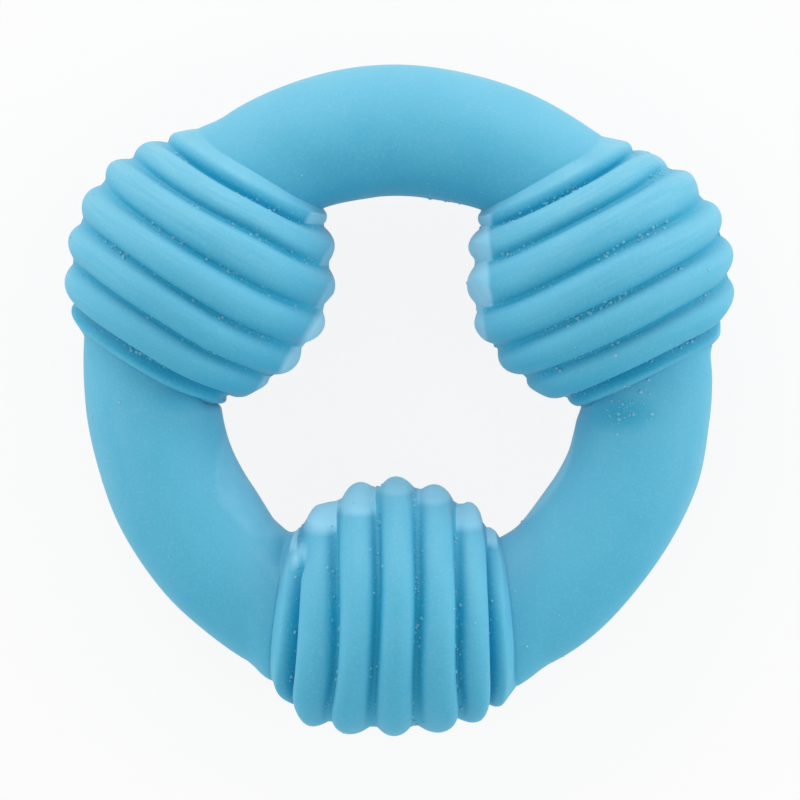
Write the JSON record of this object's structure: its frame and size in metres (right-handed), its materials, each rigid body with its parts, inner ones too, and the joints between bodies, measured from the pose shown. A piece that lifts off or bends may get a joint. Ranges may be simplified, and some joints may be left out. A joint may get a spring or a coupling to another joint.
{
  "type": "squeaky chew ring",
  "caption": "Hollow latex rubber chew ring with smooth grip tubes between fat ribbed barrels and a reed squeaker snapped into the rear.",
  "frame": {"origin": "centre of the ring's hole, on the ring's middle plane", "axes": "+Z along the ring's axis towards the front seen in the picture, -Y towards the single barrel at the picture's bottom, +X to the picture's right"},
  "size_m": [0.12, 0.122, 0.0476],
  "materials": {
    "latex": "matte cast latex",
    "squeaker_plastic": "moulded polyethylene, natural white",
    "reed_holder_plastic": "moulded polystyrene, satin",
    "reed_film": "polyester film"
  },
  "bodies": {
    "toy": {"latex_skin": "latex", "squeaker_body": "squeaker_plastic", "reed_trough": "reed_holder_plastic", "reed_wedge": "reed_holder_plastic"},
    "reed": {"reed": "reed_film"}
  },
  "joints": [
    {"name": "reed_flex", "type": "hinge", "parent": "toy", "child": "reed", "pos_m": [0, 0.045, -0.01105], "axis": [-1, 0, 0], "range_deg": [0, 5], "stiffness_Nm_per_rad": 0.0027}
  ]
}
